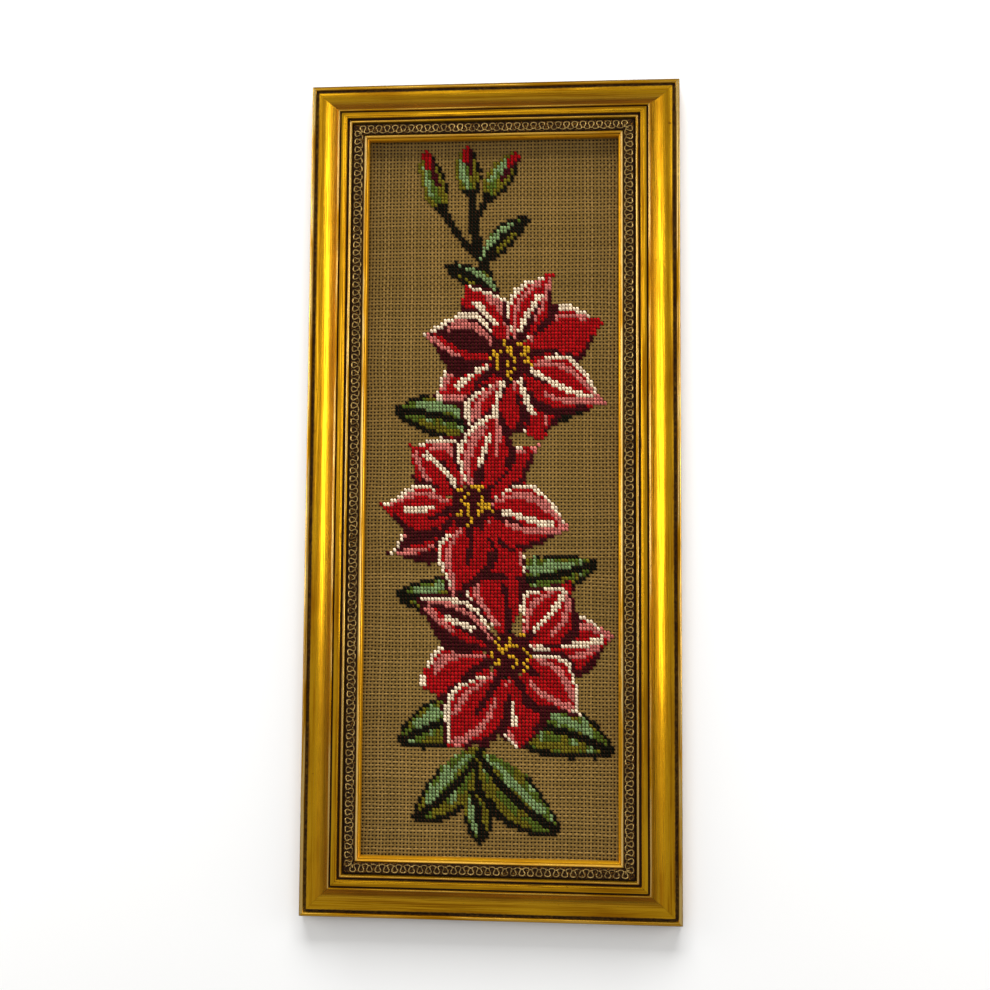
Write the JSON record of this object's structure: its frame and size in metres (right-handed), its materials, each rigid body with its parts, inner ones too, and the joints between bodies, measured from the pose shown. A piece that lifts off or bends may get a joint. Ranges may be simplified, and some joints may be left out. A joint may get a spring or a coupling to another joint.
{
  "type": "needlepoint canvas panel in a gilded picture frame",
  "caption": "Tall flat needlepoint canvas with a stitched floral spray, held in the rabbet of a mitred gilded frame with a cove, beads and a running ornament band.",
  "frame": {"origin": "centre of the frame's flat back, on the surface that the panel lies on", "axes": "+Z out of the stitched face, +Y towards the picture's top edge, +X towards its right-hand edge"},
  "size_m": [0.2688, 0.5998, 0.0215],
  "materials": {
    "gilt": "gilded wood, satin, with dark patina in the grooves",
    "ornament": "moulded ornament, gilded on its ridges over a dark brown ground",
    "canvas": "tan double-thread canvas with wool half-cross stitches",
    "board": "matt dark brown board"
  },
  "bodies": {
    "root": {"rail_top": "gilt", "rail_bottom": "gilt", "stile_left": "gilt", "stile_right": "gilt", "ornament_top": "ornament", "ornament_bottom": "ornament", "ornament_left": "ornament", "ornament_right": "ornament", "needlepoint_canvas": "canvas", "backing_board": "board"}
  },
  "joints": []
}
